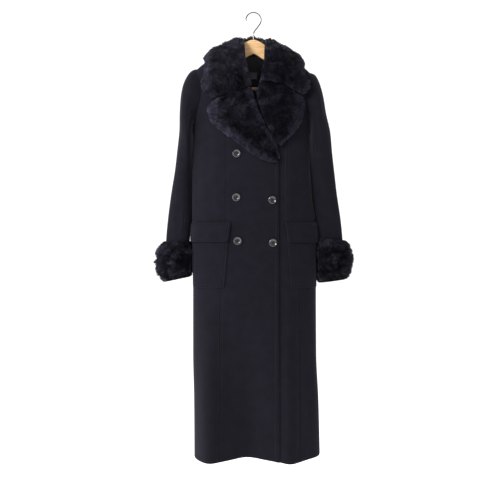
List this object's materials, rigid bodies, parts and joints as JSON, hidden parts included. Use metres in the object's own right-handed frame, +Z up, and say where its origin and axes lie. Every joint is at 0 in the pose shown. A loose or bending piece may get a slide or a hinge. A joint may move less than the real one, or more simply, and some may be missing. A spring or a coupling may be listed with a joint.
{
  "type": "fur-trimmed coat on a hanger",
  "caption": "Long double-breasted wool coat with a broad fur collar, fur lapels and fur cuffs, patch pockets with flaps and round buttons, hanging on a wooden hanger with a wire hook.",
  "frame": {"origin": "inside top of the hook, where a rail or a nail carries the hanger", "axes": "+Z up, -Y out of the coat's front, +X to the right of a viewer facing the front"},
  "size_m": [0.6157, 0.214, 1.3758],
  "materials": {
    "black_wool": "matt brushed wool coating",
    "black_fur": "dense soft faux fur pile",
    "black_lining": "satin lining",
    "plain_tab": "plain woven tab",
    "black_button": "polished",
    "pale_wood": "clear varnish",
    "bright_steel": "bright plated wire"
  },
  "bodies": {
    "root": {"back": "black_wool", "right_front": "black_wool", "left_front": "black_wool", "right_side_front": "black_wool", "left_side_front": "black_wool", "right_sleeve_upper": "black_wool", "right_sleeve_under": "black_wool", "left_sleeve_upper": "black_wool", "left_sleeve_under": "black_wool", "right_pocket": "black_wool", "left_pocket": "black_wool", "right_pocket_flap": "black_wool", "left_pocket_flap": "black_wool", "fur_collar": "black_fur", "right_lapel": "black_fur", "left_lapel": "black_fur", "right_cuff": "black_fur", "left_cuff": "black_fur", "button_top_right": "black_button", "button_middle_right": "black_button", "button_middle_left": "black_button", "button_bottom_right": "black_button", "button_bottom_left": "black_button", "neck_lining": "black_lining", "neck_tab": "plain_tab", "hanger_arms": "pale_wood", "trouser_bar": "pale_wood", "hook": "bright_steel"}
  },
  "joints": []
}
